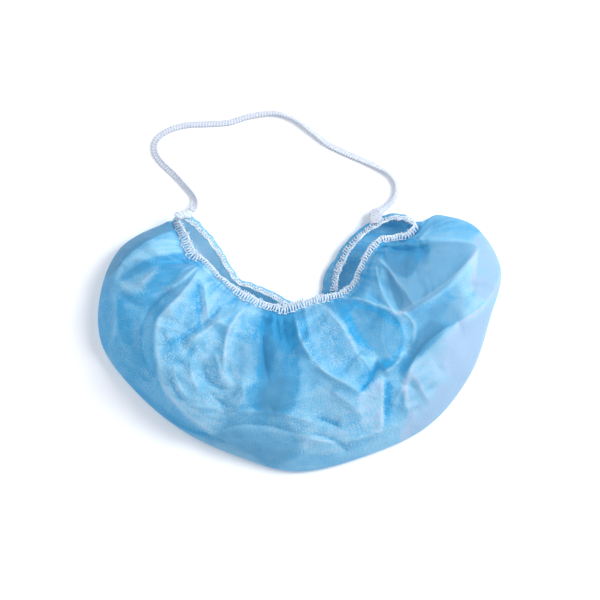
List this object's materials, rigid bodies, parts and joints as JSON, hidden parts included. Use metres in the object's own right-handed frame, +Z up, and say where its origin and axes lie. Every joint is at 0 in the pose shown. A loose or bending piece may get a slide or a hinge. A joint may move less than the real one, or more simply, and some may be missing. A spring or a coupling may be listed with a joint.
{
  "type": "disposable beard cover",
  "caption": "Gathered cloth pouch with an elastic edge round its mouth and an elastic head loop, lying on its back wall.",
  "frame": {"origin": "on the table, under the middle of the footprint of all but the head loop", "axes": "+X along the mouth from its left to its right corner, +Y from the foot of the pouch to the head loop, +Z up from the table"},
  "size_m": [0.2502, 0.2277, 0.0432],
  "materials": {
    "cloth": "thin blue spunbond polypropylene, matt and slightly see-through",
    "band": "white overlock thread over gathered elastic",
    "elastic": "white knitted elastic"
  },
  "bodies": {
    "root": {"pouch": "cloth", "rim_band_front": "band", "rim_band_back": "band", "head_loop": "elastic", "loop_end_left": "elastic", "loop_end_right": "elastic"}
  },
  "joints": []
}
